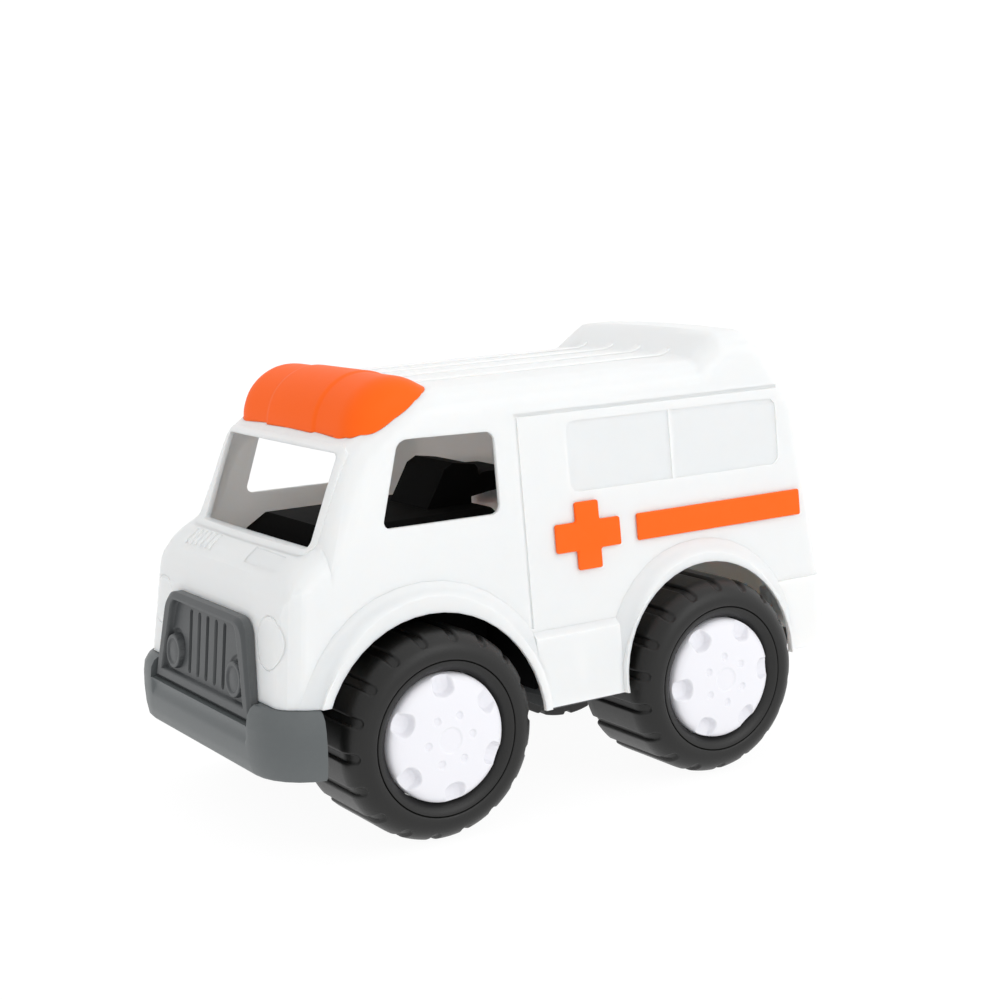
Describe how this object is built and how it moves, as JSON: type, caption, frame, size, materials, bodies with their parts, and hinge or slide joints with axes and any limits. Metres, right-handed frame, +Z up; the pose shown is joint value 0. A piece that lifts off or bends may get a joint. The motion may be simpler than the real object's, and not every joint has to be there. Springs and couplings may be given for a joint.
{
  "type": "toy emergency vehicle",
  "caption": "Toy emergency van with a hollow moulded body, domed roof light, raised side badges, cab insert, grille, bumper and two free-rolling wheelsets.",
  "frame": {"origin": "centre of the bounding box at floor level, where the tyres touch the floor", "axes": "+Y towards the back of the vehicle, +X towards its left side, +Z up"},
  "size_m": [0.2, 0.3272, 0.2227],
  "materials": {
    "body": "satin gloss moulded plastic",
    "orange": "satin gloss moulded plastic",
    "trim_grey": "fine textured moulded plastic",
    "cab_black": "matt moulded plastic",
    "tyre": "matt moulded tyre",
    "hub": "satin moulded plastic",
    "steel": "plated steel"
  },
  "bodies": {
    "vehicle": {"body_shell": "body", "chassis": "trim_grey", "bumper": "trim_grey", "grille": "trim_grey", "cab_insert": "cab_black", "roof_light": "orange", "side_cross_left": "orange", "side_cross_right": "orange", "side_stripe_left": "orange", "side_stripe_right": "orange", "axle_clamp_front": "trim_grey", "axle_clamp_rear": "trim_grey", "screw_front_clamp_left": "steel", "screw_front_clamp_right": "steel", "screw_rear_clamp_left": "steel", "screw_rear_clamp_right": "steel", "screw_mid_left": "steel", "screw_mid_right": "steel", "screw_tail_left": "steel", "screw_tail_right": "steel"},
    "front_wheelset": {"axle_front": "steel", "hub_front_left": "hub", "hub_front_right": "hub", "tyre_front_left": "tyre", "tyre_front_right": "tyre"},
    "rear_wheelset": {"axle_rear": "steel", "hub_rear_left": "hub", "hub_rear_right": "hub", "tyre_rear_left": "tyre", "tyre_rear_right": "tyre"}
  },
  "joints": [
    {"name": "front_wheels_roll", "type": "hinge", "parent": "vehicle", "child": "front_wheelset", "pos_m": [0, -0.081, 0.05], "axis": [1, 0, 0], "continuous": true},
    {"name": "rear_wheels_roll", "type": "hinge", "parent": "vehicle", "child": "rear_wheelset", "pos_m": [0, 0.081, 0.05], "axis": [1, 0, 0], "continuous": true}
  ]
}
